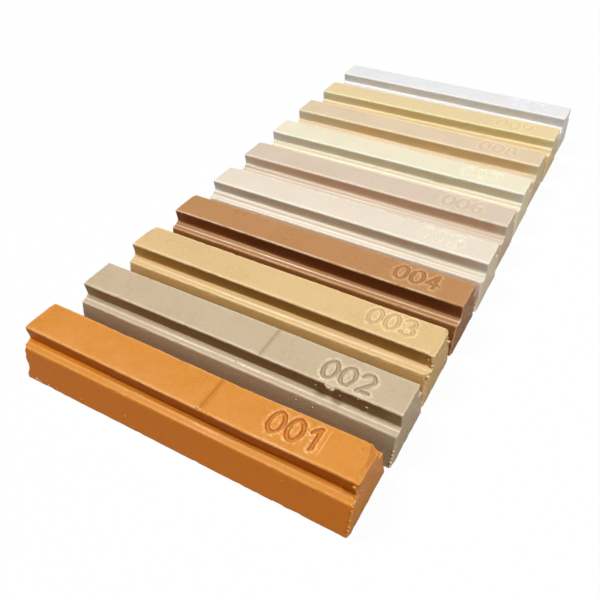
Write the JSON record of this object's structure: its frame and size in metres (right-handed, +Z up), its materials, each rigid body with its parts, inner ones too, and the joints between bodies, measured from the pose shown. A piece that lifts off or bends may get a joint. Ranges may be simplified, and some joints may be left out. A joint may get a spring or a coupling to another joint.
{
  "type": "furniture repair wax stick set",
  "caption": "Row of loose hard-wax filler sticks in graded wood tones, each a solid cast bar with a sloping foot, a ledge along both sides and a narrower ridge with a flat numbered top.",
  "frame": {"origin": "middle of the row's footprint, on the surface that the sticks lie on", "axes": "+X along the sticks, towards their numbered ends; +Y across the row, from the orange stick to the white one; +Z up, out of the numbered faces"},
  "size_m": [0.0812, 0.1694, 0.0125],
  "materials": {
    "orange_wax": "satin cast wax",
    "taupe_wax": "satin cast wax",
    "golden_wax": "satin cast wax",
    "brown_wax": "satin cast wax",
    "ivory_wax": "satin cast wax",
    "rose_wax": "satin cast wax",
    "cream_wax": "satin cast wax",
    "peach_wax": "satin cast wax",
    "straw_wax": "satin cast wax",
    "white_wax": "satin cast wax"
  },
  "bodies": {
    "root": {"orange_stick": "orange_wax", "taupe_stick": "taupe_wax", "golden_stick": "golden_wax", "brown_stick": "brown_wax", "ivory_stick": "ivory_wax", "rose_stick": "rose_wax", "cream_stick": "cream_wax", "peach_stick": "peach_wax", "straw_stick": "straw_wax", "white_stick": "white_wax"}
  },
  "joints": []
}
